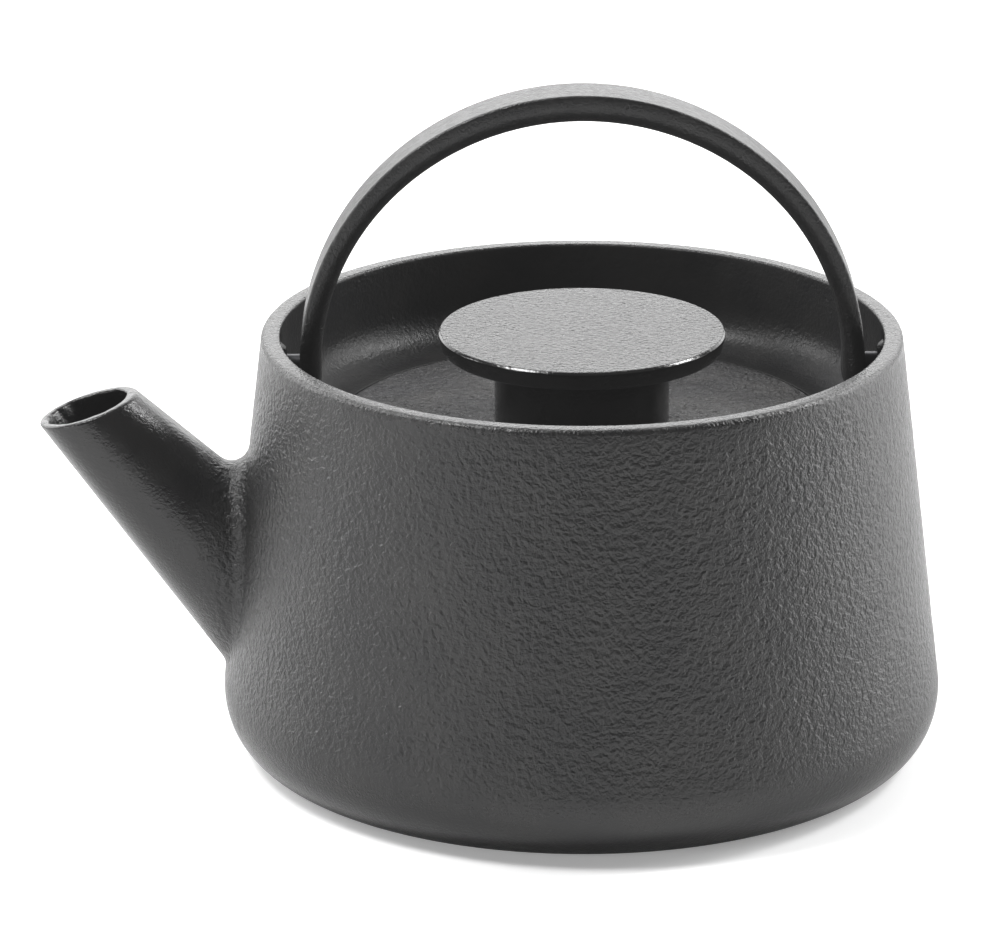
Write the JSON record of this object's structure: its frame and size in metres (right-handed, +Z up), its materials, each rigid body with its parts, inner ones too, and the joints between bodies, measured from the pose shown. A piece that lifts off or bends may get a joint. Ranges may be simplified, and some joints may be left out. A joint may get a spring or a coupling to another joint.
{
  "type": "teapot",
  "caption": "Round cast iron teapot with a tapered body, conical spout, drop-in lid with disc knob, arched handle that folds into the rim, and an infuser basket.",
  "frame": {"origin": "centre of the flat base, on the table", "axes": "+Z up, spout towards -X, handle pivot axis along X, handle plane X-Z"},
  "size_m": [0.1945, 0.1557, 0.1471],
  "materials": {
    "cast_iron": "satin black, fine wrinkled cast texture",
    "pin_steel": "blackened steel",
    "screw_steel": "stainless, machined",
    "infuser_steel": "stainless sheet, satin"
  },
  "bodies": {
    "pot": {"pot_body": "cast_iron", "infuser_collar": "infuser_steel", "infuser_sleeve": "infuser_steel", "infuser_cup": "infuser_steel"},
    "bail": {"handle": "cast_iron", "handle_pin_spout_side": "pin_steel", "handle_pin_rear": "pin_steel"},
    "lid": {"lid_plate": "cast_iron", "lid_knob": "cast_iron", "knob_washer": "screw_steel", "knob_screw": "screw_steel"}
  },
  "joints": [
    {"name": "handle_swing", "type": "hinge", "parent": "pot", "child": "bail", "pos_m": [0, 0, 0.0865], "axis": [1, 0, 0], "range_deg": [-96, 96]},
    {"name": "lid_lift", "type": "slide", "parent": "pot", "child": "lid", "axis": [0, 0, 1], "range_m": [0, 0.0272]}
  ]
}
